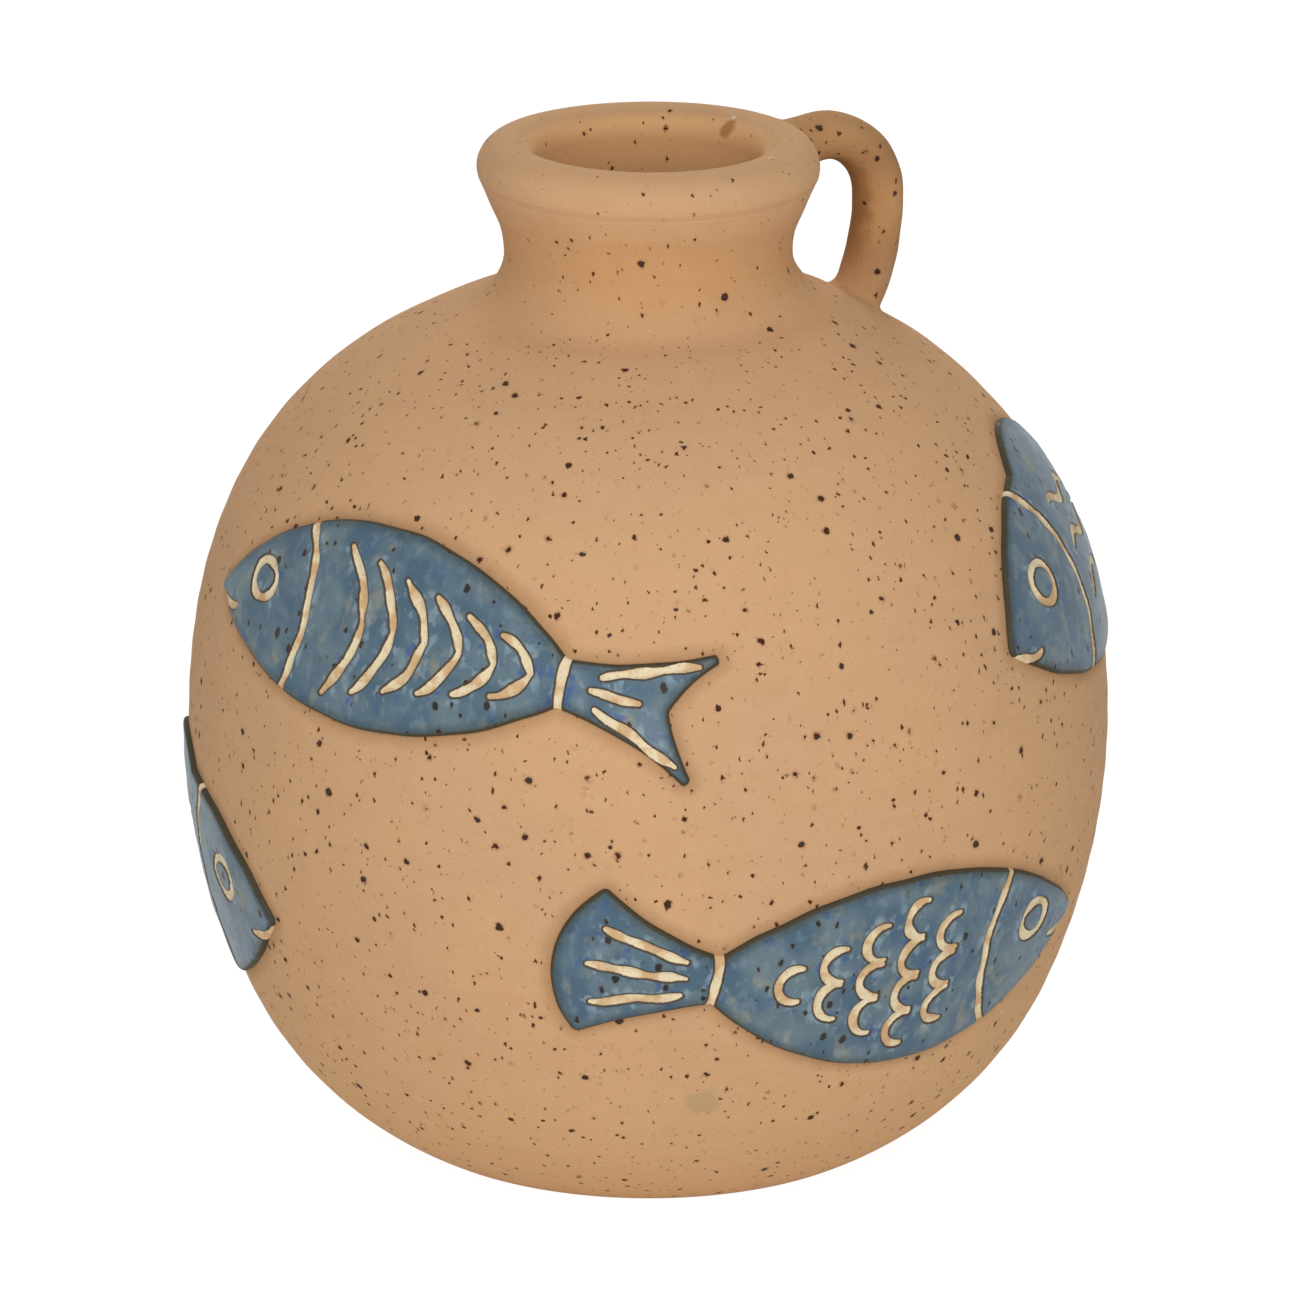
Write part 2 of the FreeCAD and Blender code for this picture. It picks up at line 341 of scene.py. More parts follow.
def specks(finish, vector, cell, share, small, large, reach="EUCLIDEAN"):
    """Specks in cells of cell mm. A share of the cells hold one, small to large mm in radius.

    Gives 1 on a speck and 0 off it, the distance from the nearest one's middle in radii, 1
    where that one is really there, and a random value of its own."""
    nearest = finish.add("ShaderNodeTexVoronoi", {"distance": reach},
                         {"Vector": vector, "Scale": 1000 / cell})
    chance = finish.add("ShaderNodeSeparateColor", None, {0: finish.sibling(nearest, "Color")})
    size, shade = finish.sibling(chance, 1), finish.sibling(chance, 2)
    radius = (small + (large - small) * size * size) / cell
    held = chance.below(share)
    return held * (1 - finish.rise(nearest / radius, 0.82, 1.12)), nearest / radius, held, shade


def iron(finish, where, few, colour):
    """The clay's colour with its iron: fine brown specks, dark ones and a few blue-black.

    few is 0 where all sizes lie and 1 where only the fine ones do."""
    ragged = finish.cloud(where, 1.1, 3.0, out="Color")
    lean = finish.add("ShaderNodeVectorMath", {"operation": "SUBTRACT"}, {0: ragged, 1: (0.5,) * 3})
    torn = finish.add("ShaderNodeVectorMath", {"operation": "MULTIPLY_ADD"},
                      {0: lean, 1: (0.0014,) * 3, 2: where})
    dust, _, _, shade = specks(finish, torn, 1.7, 0.55, 0.16, 0.34, "MANHATTAN")
    colour = finish.tint(dust * (0.6 + 0.4 * shade), colour, srgb(84, 44, 26))
    long = finish.stretched(torn, (1.2, 1.2, 0.72))
    grains, near, held, shade = specks(finish, long, 2.3, 0.74 - 0.58 * few * few, 0.32, 0.74,
                                        "MANHATTAN")
    halo = held * (1 - finish.rise(near, 0.8, 2.3)) * shade
    colour = finish.tint(0.30 * halo, colour, srgb(150, 96, 50))
    brown = finish.tint(shade, srgb(92, 46, 20), srgb(52, 26, 16))
    colour = finish.tint(grains * 0.95, colour, brown)
    beads, near, held, shade = specks(finish, torn, 4.4, 0.56 - 0.54 * few, 0.40, 0.88)
    halo = held * (1 - finish.rise(near, 0.85, 1.8)) * 0.35
    colour = finish.tint(halo, colour, srgb(140, 92, 52))
    heart = (1 - finish.rise(near, 0.35, 0.75)) * finish.rise(shade, 0.4, 0.7)
    black = finish.tint(heart, srgb(62, 34, 20), srgb(56, 55, 58))
    colour = finish.tint(beads * 0.97, colour, black)
    return colour, grains.higher(beads)


def bare_clay(name, turned, spots=()):
    """Bare stoneware: sandy tan, matt, with faint lines that run round the axis if turned.

    Each spot is a place and a radius in mm, how strong it is, and its colour."""
    material = bpy.data.materials.new(name)
    clay = Finish(material)
    where = clay.place()
    x = clay.add("ShaderNodeSeparateXYZ", None, {0: where})
    y, z = clay.sibling(x, 1), clay.sibling(x, 2)
    radius = (x * x + y * y) ** 0.5
    rings = clay.add("ShaderNodeCombineXYZ", None,
                     {0: radius + 0.03 * x, 1: z + 0.03 * y, 2: 0.02 * x})
    lines = clay.cloud(rings if turned else clay.stretched(where, (1, 1, 0.6)), 2.6, 3.0)

    patches = clay.cloud(where, 38, 3.0)
    blotches = clay.cloud(where, 6, 3.0)
    grain = clay.cloud(where, 0.55, 2.0)
    # The handle, not turned, is the same clay given a much darker colour, as painted shade.
    sandy = srgb(207, 164, 123) if turned else srgb(146, 106, 67)
    colour = clay.tint(clay.rise(patches, 0.35, 0.65), sandy,
                       srgb(212, 167, 123) if turned else srgb(153, 112, 71))
    neck = clay.rise(z, 0.182, 0.198) * (1 - clay.rise(z, 0.199, 0.216))
    colour = clay.tint(0.7 * neck, colour, srgb(203, 152, 101))
    # Painted light: the clay is lighter low down, as if lit from the table.
    colour = clay.tint(0.8 * (1 - clay.rise(z, 0.012, 0.055)), colour, srgb(222, 177, 128))
    # Painted light: the shoulder, which faces up, is lighter.
    upper = clay.rise(z, 0.125, 0.155) * (1 - clay.rise(z, 0.182, 0.192))
    colour = clay.tint(0.45 * upper, colour, srgb(222, 175, 130))
    tone = 0.5 + (blotches - 0.5) * 0.35 + (grain - 0.5) * 0.55 + (lines - 0.5) * 0.22
    colour = clay.tint(clay.rise(tone, 0.1, 0.9), clay.tint(0.14, colour, srgb(150, 104, 62)),
                       clay.tint(0.12, colour, srgb(236, 204, 168)))
    ragged = clay.cloud(where, 3.5, 2.0)
    painted_fish_shade = clay.add("ShaderNodeAttribute", {"attribute_name": "painted_fish_shade"}, out="Fac")
    if turned:
        # Painted light: the inside of the throat, below the rim, is lighter.
        inside = (1 - clay.rise(radius, 0.0250, 0.0275)) * clay.rise(z, 0.202, 0.216)
        colour = clay.tint(0.7 * inside, colour, srgb(240, 188, 132))
    else:
        inner = clay.add("ShaderNodeAttribute", {"attribute_name": "inner"}, out="Fac")
        root = clay.add("ShaderNodeAttribute", {"attribute_name": "root"}, out="Fac")
        # Where its ends are smeared on the pot, the handle's painted shade fades to a tone near the
        # body's.
        colour = clay.tint(clay.rise(root + 0.2 * (ragged - 0.5), 0.1, 0.8), colour,
                           srgb(206, 160, 115))
        # Painted shade: the finger's side of the ring, which faces the neck, is dark brown.
        inner = clay.rise(inner + 0.2 * (ragged - 0.5), 0.80, 1.02) * clay.rise(z, 0.184, 0.197)
        # Painted light: the handle's top is lighter than the rest of it.
        colour = clay.tint(0.85 * clay.rise(z, 0.208, 0.220), colour, srgb(194, 148, 101))
        colour = clay.tint(0.65 * inner, colour, srgb(116, 80, 42))
    # Painted shade: the clay is darker close round each fish.
    colour = clay.tint(0.36 * clay.rise(painted_fish_shade + 0.25 * (ragged - 0.5), 0.45, 1.0), colour,
                       srgb(150, 104, 62))
    for spot, radius, strength, stain in spots:
        away = clay.add("ShaderNodeVectorMath", {"operation": "DISTANCE"},
                        {0: where, 1: [axis * mm for axis in spot]}, out="Value")
        away = away / (radius * mm) + 1.4 * (ragged - 0.5)
        colour = clay.tint(strength * (1 - clay.rise(away, 0.6, 1.1)), colour, srgb(*stain))
    few = 0.65 * clay.rise(z, 0.17, 0.19) + 0.35 * clay.rise(z, 0.205, 0.212)
    colour, dark = iron(clay, where, few if turned else 0.0, colour)
    chips, _, _, _ = specks(clay, where, 13, 0.25, 0.25, 0.55)
    colour = clay.tint(chips * 0.6, colour, srgb(232, 212, 184))

    relief = 0.045 * grain + 0.05 * blotches + (0.06 if turned else 0.03) * lines - 0.04 * chips
    bump = clay.add("ShaderNodeBump", None, {"Strength": 1.0, "Distance": mm, "Height": relief})
    shader = clay.add("ShaderNodeBsdfPrincipled", None, {
        "Base Color": colour, "Roughness": 0.86 - 0.25 * dark, "Normal": bump,
        "Specular IOR Level": 0.08})
    clay.add("ShaderNodeOutputMaterial", None, {"Surface": shader})
    return material


thrown_clay = bare_clay("thrown_clay", True, [
    ((23.9, 7.2, 218.7), 2.2, 0.8, (172, 118, 58)),       # a drip of glaze inside the mouth
    ((26.2, 8.0, 219.9), 0.9, 0.8, (238, 224, 200)),      # a chip on the rim
    ((13.7, -28.2, 221.0), 0.8, 0.7, (226, 204, 170)),
    ((-34.2, -81.3, 34.7), 3.8, 0.30, (146, 144, 112)),   # a smudge of glaze low down
])

edge_centre = (across(lower_centre, lower_arc - foot_edge, foot_edge), foot_edge)
foot_outer = edge_centre[0]
recess_outer = foot_outer - foot_ring_width
seam = (across(shoulder_centre, shoulder_arc, seam_height), seam_height)
corner_height = floor_thickness + floor_corner
corner_centre = (across(lower_centre, lower_arc - wall - floor_corner, corner_height),
                 corner_height)
throat_low = above(shoulder_centre, shoulder_arc - wall, throat_radius)

pot = Rib(0, foot_recess)
pot.run(recess_outer - recess_edge, foot_recess, 20)
pot.run(recess_outer, 0, 2)
pot.run(foot_outer, 0, 4)
pot.bow(edge_centre, heading(lower_centre, edge_centre), 0.6)
pot.bow(lower_centre, lower_break, ring_gap)
pot.bow(belly_centre, shoulder_break, ring_gap)
pot.bow(shoulder_centre, heading(shoulder_centre, seam) - 0.15, ring_gap)
pot.run(*seam)
pot.run(throat_radius, seam_height, 3)
pot.run(throat_radius, throat_low)
pot.bow(shoulder_centre, shoulder_break, inner_gap)
pot.bow(belly_centre, lower_break, inner_gap)
pot.bow(lower_centre, heading(lower_centre, corner_centre), inner_gap)
pot.bow(corner_centre, -90, inner_gap)
pot.run(0, floor_thickness, 8)
body = fired(pot.turned(), "thrown_body", "vessel_body", thrown_clay)


# The neck collar. A short thrown ring with a drawn-in waist, luted on the shoulder and
# smoothed over, so that its clay runs on into the body without a line.

waist_radius, neck_fillet, waist_height, flare_arc = 30.9, 12.0, 196.2, 19.3
lip_radius, lip_height = 36.7, 214.9
lip_roll = (lip_radius - throat_radius) / 2
rim_seam = 211.0
neck_gap = 0.9

fillet_radius = waist_radius + neck_fillet
fillet_centre = (fillet_radius, above(shoulder_centre, shoulder_arc + neck_fillet, fillet_radius))
flare_centre = (waist_radius + flare_arc, waist_height)
lip_centre = (lip_radius - lip_roll, lip_height)
touch = heading(flare_centre, lip_centre) + math.degrees(
    math.acos((flare_arc + lip_roll) / math.dist(flare_centre, lip_centre)))
flare_end = step(flare_centre, flare_arc, touch)
lip_start = step(lip_centre, -lip_roll, touch)
slope = (lip_start[0] - flare_end[0]) / (lip_start[1] - flare_end[1])
rim_start = (flare_end[0] + slope * (rim_seam - flare_end[1]), rim_seam)

collar = Rib(*seam)
collar.bow(shoulder_centre, heading(shoulder_centre, fillet_centre), 0.4)
collar.bow(fillet_centre, 180, neck_gap)
collar.run(waist_radius, waist_height, 3)
collar.bow(flare_centre, touch, neck_gap)
collar.run(*rim_start, 6)
collar.run(throat_radius, rim_seam, 3)
collar.run(throat_radius, seam_height, 12)
collar.run(*seam, 3)
fired(collar.turned(), "waisted_neck", "neck_collar", thrown_clay)


# The rolled rim. The mouth's edge is folded out and pressed into a thick round roll, with
# a faint line below it from the tool that trimmed it.

tool_line_depth = 0.12

rim = Rib(*rim_start)
rim.run(rim_start[0] + slope * 0.35 + 0.02, rim_seam + 0.35)
for rise, cut in ((0.6, 0.15), (0.9, 1.0), (1.2, 0.5), (1.6, 0.1), (2.0, 0.0)):
    rim.run(rim_start[0] + slope * rise - cut * tool_line_depth, rim_seam + rise)
rim.run(*lip_start)
rim.bow(lip_centre, 80, 0.7)
rim.bow(lip_centre, 180, 0.7)
rim.run(throat_radius, rim_seam, 5)
rim.run(*rim_start, 3)
fired(rim.turned(), "rolled_mouth", "rolled_rim", thrown_clay)


# The handle. A rolled strip of the same clay, bent into a ring for one finger, pushed
# into the rim and the shoulder and smeared on to both with a fingertip.

handle_thickness, handle_width = 10.6, 12.2
handle_start, handle_rise, handle_level, handle_reach = 31.0, 8.0, 215.6, 58.1
top_bend, side_bend, side_turn = 14.6, 58.0, 26.9
rim_smear = (1.0, 3.6)                     # how far the clay is dragged out, on the ring's
root_smear = (0.8, 5.0)                    # outer side and on its inner side
smear_rings = 12
strip_rings = 70
strip_sides = 56

top_centre = (handle_reach - top_bend, handle_level - top_bend)
side_centre = (handle_reach - side_bend, handle_level - top_bend)
bend_start = step(top_centre, top_bend, 90 + handle_rise)
straight = (bend_start[0] - handle_start) / math.cos(math.radians(handle_rise))
top_length = top_bend * math.radians(90 + handle_rise)
strip_length = straight + top_length + side_bend * math.radians(side_turn)


def on_strip(travelled, side, spread):
    """Points on the strip, travelled mm along it and side radians round it, spread mm out."""
    bend = np.clip((travelled - straight) / top_bend, 0, math.radians(90 + handle_rise))
    side_angle = np.clip((travelled - straight - top_length) / side_bend, 0, None)
    outward = math.radians(90 + handle_rise) - bend - side_angle
    on_top = travelled < straight + top_length
    centre_x = np.where(on_top, top_centre[0], side_centre[0])
    arc = np.where(on_top, top_bend, side_bend)
    back = np.minimum(travelled - straight, 0)
    x = centre_x + arc * np.cos(outward) + back * math.cos(math.radians(handle_rise))
    z = top_centre[1] + arc * np.sin(outward) + back * math.sin(math.radians(handle_rise))
    uneven = 0.14 * np.sin(travelled / 7 + 1.3) + 0.10 * np.sin(travelled / 3.4 + 2 * side)
    thick = (handle_thickness / 2 + spread + uneven) * np.cos(side)
    wide = (handle_width / 2 + spread + uneven) * np.sin(side)
    return np.stack([x + thick * np.cos(outward), wide, z + thick * np.sin(outward)], -1)


def off_arc(radius, height, centre, arc):
    return np.hypot(radius - centre[0], height - centre[1]) - arc


def clear_of_pot(places):
    """How far points are outside the pot's shoulder and rim, in mm, roughly where far."""
    radius, height = np.hypot(places[..., 0], places[..., 1]), places[..., 2]
    shoulder = off_arc(radius, height, shoulder_centre, shoulder_arc)
    lip = off_arc(radius, height, lip_centre, lip_roll)
    normal = np.array([math.cos(math.radians(touch)), math.sin(math.radians(touch))])
    flare = -((radius - flare_end[0]) * normal[0] + (height - flare_end[1]) * normal[1])
    neck = np.where(height > lip_start[1], lip, np.maximum(flare, flare_end[1] - height))
    return np.minimum(shoulder, np.minimum(neck, lip))


def where_clear(side, spread, clearance, from_rim):
    """How far along the strip each line of it comes to that clearance from the pot."""
    stations = np.linspace(-8, strip_length * 0.5, 600)
    if not from_rim:
        stations = strip_length - stations - 8
    grid, sides = np.meshgrid(stations, side, indexing="ij")
    gap = clear_of_pot(on_strip(grid, sides, spread))
    inside = gap < clearance
    last = len(stations) - 1 - np.argmax(inside[::-1], axis=0)
    last = np.where(inside.any(0), last, np.argmin(gap, axis=0))
    last = np.clip(last, 0, len(stations) - 2)
    column = np.arange(len(side))
    low, high = gap[last, column], gap[last + 1, column]
    share = np.clip((clearance - low) / np.maximum(high - low, 1e-6), 0, 1)
    return stations[last] + share * (stations[last + 1] - stations[last])


strip = bmesh.new()
bmesh.ops.create_circle(strip, segments=strip_sides, radius=1.0)
rings = smear_rings * 2 + strip_rings
bmesh.ops.spin(strip, geom=strip.verts[:] + strip.edges[:], cent=(0, 0, 0), axis=(0, 0, 1),
               dvec=(0, 0, 1), angle=0, steps=rings)
around = np.linspace(0, math.tau, strip_sides, endpoint=False)
inner_side = (1 - np.cos(around)) / 2
laid = np.empty((rings + 1, strip_sides, 3))
for number in range(smear_rings + 1):
    share = number / smear_rings
    for row, (outer, inner), from_rim in ((number, rim_smear, True),
                                          (rings - number, root_smear, False)):
        smear = outer + (inner - outer) * inner_side
        clearance = smear * share ** 2 if number else -0.5
        found = where_clear(around, smear * (1 - share) ** 2, clearance, from_rim)
        laid[row] = on_strip(found, around, smear * (1 - share) ** 2)
        if from_rim:
            begun = found
        else:
            ended = found
for number in range(1, strip_rings):
    share = number / strip_rings
    laid[smear_rings + number] = on_strip(begun * (1 - share) + ended * share, around, 0.0)
# The finger's side is marked for the painted shade that the handle's finish puts on it.
inner, root = [], []                       # the finger's side, and where the clay is smeared
for vertex in strip.verts:
    side = round(math.atan2(vertex.co.y, vertex.co.x) / math.tau * strip_sides) % strip_sides
    row = round(vertex.co.z)
    vertex.co = laid[row, side]
    inner.append(inner_side[side])
    root.append(max(0, 1 - min(row, rings - row) / (smear_rings + 6)))
bmesh.ops.holes_fill(strip, edges=strip.edges, sides=strip_sides)
bmesh.ops.recalc_face_normals(strip, faces=strip.faces)
# Its finish is the body's clay darkened as painted shade.
fired(strip, "ring_handle", "handle", bare_clay("painted_shade_rolled_clay", False),
      {"inner": inner, "root": root})


# The six fish. Flat shapes cut from a thin sheet of clay, luted on the wall, scratched
# with a loop tool and brushed with a satin slate-blue glaze that breaks dark on every
# edge, pools cobalt at the points and is wiped out of the scratched lines.

fish_relief = 1.3
fish_corner = 1.6
edge_round = 1.5           # how far in from its edge the sheet is rounded over
sheet_edge = 0.4           # the rounding starts at this share of the relief
under = 0.7                # the sheet is pressed this far into the wall
line_depth = 0.5
line_width = 2.1
weave = 0.36               # between the mesh's lines, across the fish
knife_step = 0.3           # between the points of a cut edge
tool_step = 0.8            # between the points of a scratched line
smooth_half = 86.0         # half the inner angle from which a corner is left as it is, in degrees
no_line = 9.0              # how far off a line counts as where there is none
bend = 96.0                # the wall's radius, about which the flat drawing is bent

# How far round the pot and how high each fish lies, its tilt, the way it swims and its kind.
shoal = {
    "fish_upper_left": (-150.0, 134.0, -5.0, -1, "herring"),
    "fish_upper_right": (-30.0, 136.0, 4.0, -1, "bream"),
    "fish_upper_back": (90.0, 133.0, -3.0, -1, "wrasse"),
    "fish_lower_right": (-92.0, 62.0, -5.0, 1, "wrasse"),
    "fish_lower_back": (28.0, 60.0, 4.0, 1, "herring"),
    "fish_lower_left": (148.0, 63.0, -3.0, 1, "bream"),
}

# An outline starts at the nose and goes over the back to the tail and home, in bows: the
# point passed and the point reached, as (behind the nose, above the middle line).
outlines = {
    "herring": [((43, 21.5), (95, 5.2)), ((109, 8.2), (127, 18.5)), ((119.5, 9), (115.5, 0)),
                ((119.5, -9), (127, -18.5)), ((109, -8.2), (95, -5.2)), ((45, -20.5), (0, 0))],
    "bream": [((13, 16.6), (34, 24.2)), ((51, 29.6), (66, 21.6)), ((77.5, 12.6), (88, 5.6)),
              ((102, 9.5), (119, 20.5)), ((113.5, 10), (111, 0)), ((113.5, -10), (119, -20.5)),
              ((102, -9.5), (88, -5.6)), ((44, -24), (0, 0))],
    "wrasse": [((45, 22.5), (96, 5.6)), ((107, 9.6), (119, 17.5)), ((126, 0), (119, -17.5)),
               ((107, -9.6), (96, -5.6)), ((47, -22), (0, 0))],
}
lengths = {"herring": 127.0, "bream": 119.0, "wrasse": 126.0}
# The eye's ring and the bows across the gill and the tail's root: a centre and a radius.
eyes = {"herring": ((17.5, 3.6), 4.0), "bream": ((18, 5.4), 4.2), "wrasse": ((17, 4), 4.0)}
gills = {"herring": ((-7, 0), 40.0), "bream": ((-8, 0), 42.0), "wrasse": ((-6, 0), 38.0)}
tail_roots = {"herring": ((129, 0), 34.0), "bream": ((122, 0), 34.0), "wrasse": ((130, 0), 34.0)}


def ring(centre, radius, start=0.0, end=360.0, steps=40):
    """Points on a bow of a circle, between two directions in degrees."""
    turns = np.radians(np.linspace(start, end, steps))
    return np.stack([centre[0] + radius * np.cos(turns), centre[1] + radius * np.sin(turns)], -1)


def bow_through(start, middle, end, steps=60):
    """Points on the bow from start through middle to end."""
    a, b, c = (complex(*point) for point in (start, middle, end))
    w = (c - a) / (b - a)
    centre = (b - a) * (w - abs(w) ** 2) / (2j * w.imag) + a
    first = math.degrees(math.atan2((a - centre).imag, (a - centre).real))
    turns = [math.degrees(math.atan2(((p - centre) / (a - centre)).imag,
                                     ((p - centre) / (a - centre)).real)) for p in (b, c)]
    turn = turns[1]
    if turn * turns[0] < 0 or abs(turns[0]) > abs(turn):
        turn -= math.copysign(360, turn)
    return ring((centre.real, centre.imag), abs(a - centre), first, first + turn, steps)


def evened(points, gap, closed=False):
    """The same line with points about gap apart."""
    if closed:
        points = np.vstack([points, points[:1]])
    along = np.concatenate([[0], np.cumsum(np.hypot(*np.diff(points, axis=0).T))])
    places = np.linspace(0, along[-1], max(3, round(along[-1] / gap) + 1))
    points = np.stack([np.interp(places, along, points[:, axis]) for axis in (0, 1)], -1)
    return points[:-1] if closed else points


def shaky(count, gap, wave, chance):
    """A smooth random line of count values about nought, with waves about wave mm long."""
    place = np.arange(count) * gap
    return sum(np.sin(place * math.tau / (wave * chance.uniform(0.7, 1.5))
                      + chance.uniform(0, math.tau)) for _ in range(3)) / 3


def across_line(points, starts, ends):
    """Each point's distance from its own run of a line, the nearest place and the share along."""
    run = ends - starts
    to_point = points - starts
    share = np.clip((to_point * run).sum(-1) / np.maximum((run ** 2).sum(-1), 1e-9), 0, 1)
    place = starts + share[..., None] * run
    cross = run[..., 0] * to_point[..., 1] - run[..., 1] * to_point[..., 0]
    return np.hypot(*np.moveaxis(points - place, -1, 0)), place, share, np.sign(cross)


def inside_outline(points, line):
    """Distance of points inside a closed line, and the nearest place on it."""
    tree = KDTree(len(line))
    for index, (x, y) in enumerate(line):
        tree.insert((x, y, 0), index)
    tree.balance()
    found = np.array([tree.find((x, y, 0))[1] for x, y in points])
    before, here, after = (line[(found + move) % len(line)] for move in (-1, 0, 1))
    first, first_place, _, first_side = across_line(points, before, here)
    second, second_place, _, second_side = across_line(points, here, after)
    nearer = first < second
    place = np.where(nearer[:, None], first_place, second_place)
    side = np.where(nearer, first_side, second_side)
    around = after - before
    beyond = around[:, 0] * (points - here)[:, 1] - around[:, 1] * (points - here)[:, 0]
    side = np.where(np.hypot(*(place - here).T) < 0.001, np.sign(beyond), side)
    return np.where(nearer, first, second) * side, place


def beside_cut(points, line, halves):
    """Distance of points from the edge of a cut line whose half width changes along it."""
    far, _, share, _ = across_line(points[:, None], line[None, :-1], line[None, 1:])
    return (far - halves[:-1] * (1 - share) - halves[1:] * share).min(1)


def fish_frame(direction, height, tilt):
    """Middle of a fish on the wall, with its directions along, up and outwards."""
    if height > belly_height + belly_arc * math.sin(math.radians(shoulder_break)):
        centre, arc = shoulder_centre, shoulder_arc
    else:
        centre, arc = belly_centre, belly_arc
    lean = math.asin((height - centre[1]) / arc)
    radius = across(centre, arc, height)
    theta, turn = math.radians(direction), math.radians(tilt)
    outward = np.array([math.cos(theta) * math.cos(lean), math.sin(theta) * math.cos(lean),
                        math.sin(lean)])
    level = np.array([-math.sin(theta), math.cos(theta), 0])
    steep = np.cross(outward, level)
    middle = np.array([radius * math.cos(theta), radius * math.sin(theta), height])
    return (middle, level * math.cos(turn) + steep * math.sin(turn),
            steep * math.cos(turn) - level * math.sin(turn), outward)


def off_wall(places):
    """Distance of points outside the pot's outer wall, and the way straight out of it."""
    radius, height = np.maximum(np.hypot(places[:, 0], places[:, 1]), 1e-6), places[:, 2]
    turn = np.degrees(np.arctan2(height - belly_centre[1], radius - belly_centre[0]))
    zone = np.where(turn > shoulder_break, 2, np.where(turn < lower_break, 0, 1))
    centres = np.array([lower_centre, belly_centre, shoulder_centre])[zone]
    arcs = np.array([lower_arc, belly_arc, shoulder_arc])[zone]
    away = np.stack([radius, height], -1) - centres
    reach = np.hypot(away[:, 0], away[:, 1])
    level = away[:, 0] / reach
    out = np.stack([places[:, 0] / radius * level, places[:, 1] / radius * level,
                    away[:, 1] / reach], -1)
    return reach - arcs, out


def fish_outline(kind, chance):
    """The fish's cut edge in the bent drawing, about its middle, with its corners rounded."""
    runs, start = [], (0, 0)
    for through, end in outlines[kind]:
        run = evened(bent(bow_through(start, through, end), kind), knife_step)
        way = np.gradient(run, axis=0)
        way = way / np.hypot(way[:, 0], way[:, 1])[:, None]
        rest = np.minimum(np.arange(len(run)), np.arange(len(run))[::-1]) * knife_step
        shake = shaky(len(run), knife_step, 19, chance) * 0.2 * np.clip((rest - 2) / 6, 0, 1)
        runs.append(run + np.stack([way[:, 1], -way[:, 0]], -1) * shake[:, None])
        start = end
    line = []
    for before, after in zip(runs, runs[1:] + runs[:1]):
        back, ahead = before[-8] - before[-1], after[7] - after[0]
        back, ahead = back / math.hypot(*back), ahead / math.hypot(*ahead)
        half = math.acos(np.clip(back @ ahead, -1, 1)) / 2
        cut = max(2, round(min(fish_corner / math.tan(half) / knife_step, 0.4 * len(before),
                               0.4 * len(after))))
        first, last = before[-1 - cut], after[cut]
        radius = cut * knife_step * math.tan(half)
        inward = (back + ahead) / math.hypot(*(back + ahead))
        middle = before[-1] + inward * radius * (1 / math.sin(half) - 1)
        smooth = half > math.radians(smooth_half)
        line.append([first, last] if smooth else bow_through(first, middle, last, 12))
        line.append((after[cut:], cut))
    kept = []
    for number in range(0, len(line), 2):
        run, _ = line[number + 1]
        following = line[(number + 3) % len(line)][1]
        kept += [np.array(line[number]), run[1:len(run) - 1 - following]]
    return evened(np.vstack(kept), knife_step, closed=True)


def bent(points, kind):
    """Drawing points, (behind, above), laid out along the wall's curve about the middle."""
    ahead = lengths[kind] / 2 - points[:, 0]
    return np.stack([bend * np.arcsin(ahead / bend), points[:, 1]], -1)


def scratched(kind, chance):
    """The lines cut in a fish: each a row of points and the half width at each."""
    drawn = [ring(*eyes[kind], 20, 380, 60)]
    centre, radius = gills[kind]
    drawn.append(ring(centre, radius, -46, 46, 60))
    centre, radius = tail_roots[kind]
    drawn.append(ring(centre, radius, 160, 200, 30))
    if kind == "herring":
        for number in range(6):
            x = 43.5 + 8.0 * number
            tall = 15.5 - 0.42 * (x - 43.5) * 0.55
            drawn.append(bow_through((x - 2, tall), (x + 3.6, tall * 0.45), (x + 5.5, 0.4)))
            drawn.append(bow_through((x + 5.5, 0.4), (x + 3.6, -tall * 0.45), (x - 2, -tall)))
        rays = [(101, 0.0, 110, 0.0), (102.5, 3.4, 118.5, 10.6), (102.5, -3.4, 118.5, -10.6)]
        mouth = (1.0, -1.5, 9.0, -3.6)
    elif kind == "bream":
        for row in (-1, 0, 1):
            x = np.linspace(41, 84 - 5 * abs(row), 60)
            tall = 10.5 - 0.15 * (x - 41)
            wave = 1.9 * np.sin((x - 41) / 17 * math.tau + row)
            drawn.append(np.stack([x, 1.2 + row * tall + wave * (1 - 0.25 * abs(row))], -1))
        rays = [(94, 0.0, 106, 0.0), (95, 3.6, 111.5, 11.2), (95, -3.6, 111.5, -11.2)]
        mouth = (1.0, -1.4, 8.0, -4.6)
    else:
        for column in range(5):
            for row in range(-2, 3):
                x, y = 42.5 + 9.2 * column, 8.8 * row + (4.4 if column % 2 else 0.0)
                if abs(y) < 17.0 - 0.27 * (x - 42):
                    drawn.append(ring((x, y), 4.0, -100, 100, 24))
        rays = [(102, 0.0, 120, 0.0), (102.5, 4.0, 118, 8.6), (102.5, -4.0, 118, -8.6)]
        mouth = (1.0, -1.3, 9.0, -3.4)
    drawn.append(bow_through(mouth[:2], (mouth[2] / 2, mouth[3] / 2 - 1.6), mouth[2:]))
    drawn += [np.array([ray[:2], ray[2:]]) for ray in rays]
    lines = []
    for number, points in enumerate(drawn):
        line = evened(bent(points, kind), tool_step)
        way = np.gradient(line, axis=0)
        way = way / np.hypot(way[:, 0], way[:, 1])[:, None]
        shake = shaky(len(line), tool_step, 13, chance) * (0.34 if number else 0.2)
        line = line + np.stack([-way[:, 1], way[:, 0]], -1) * shake[:, None]
        half = line_width / 2 * (1 + 0.24 * shaky(len(line), tool_step, 8, chance))
        rest = np.minimum(np.arange(len(line)), np.arange(len(line))[::-1]) * tool_step
        lines.append((line, half * (0.62 + 0.38 * np.clip(rest / 3.0, 0, 1))))
    return lines


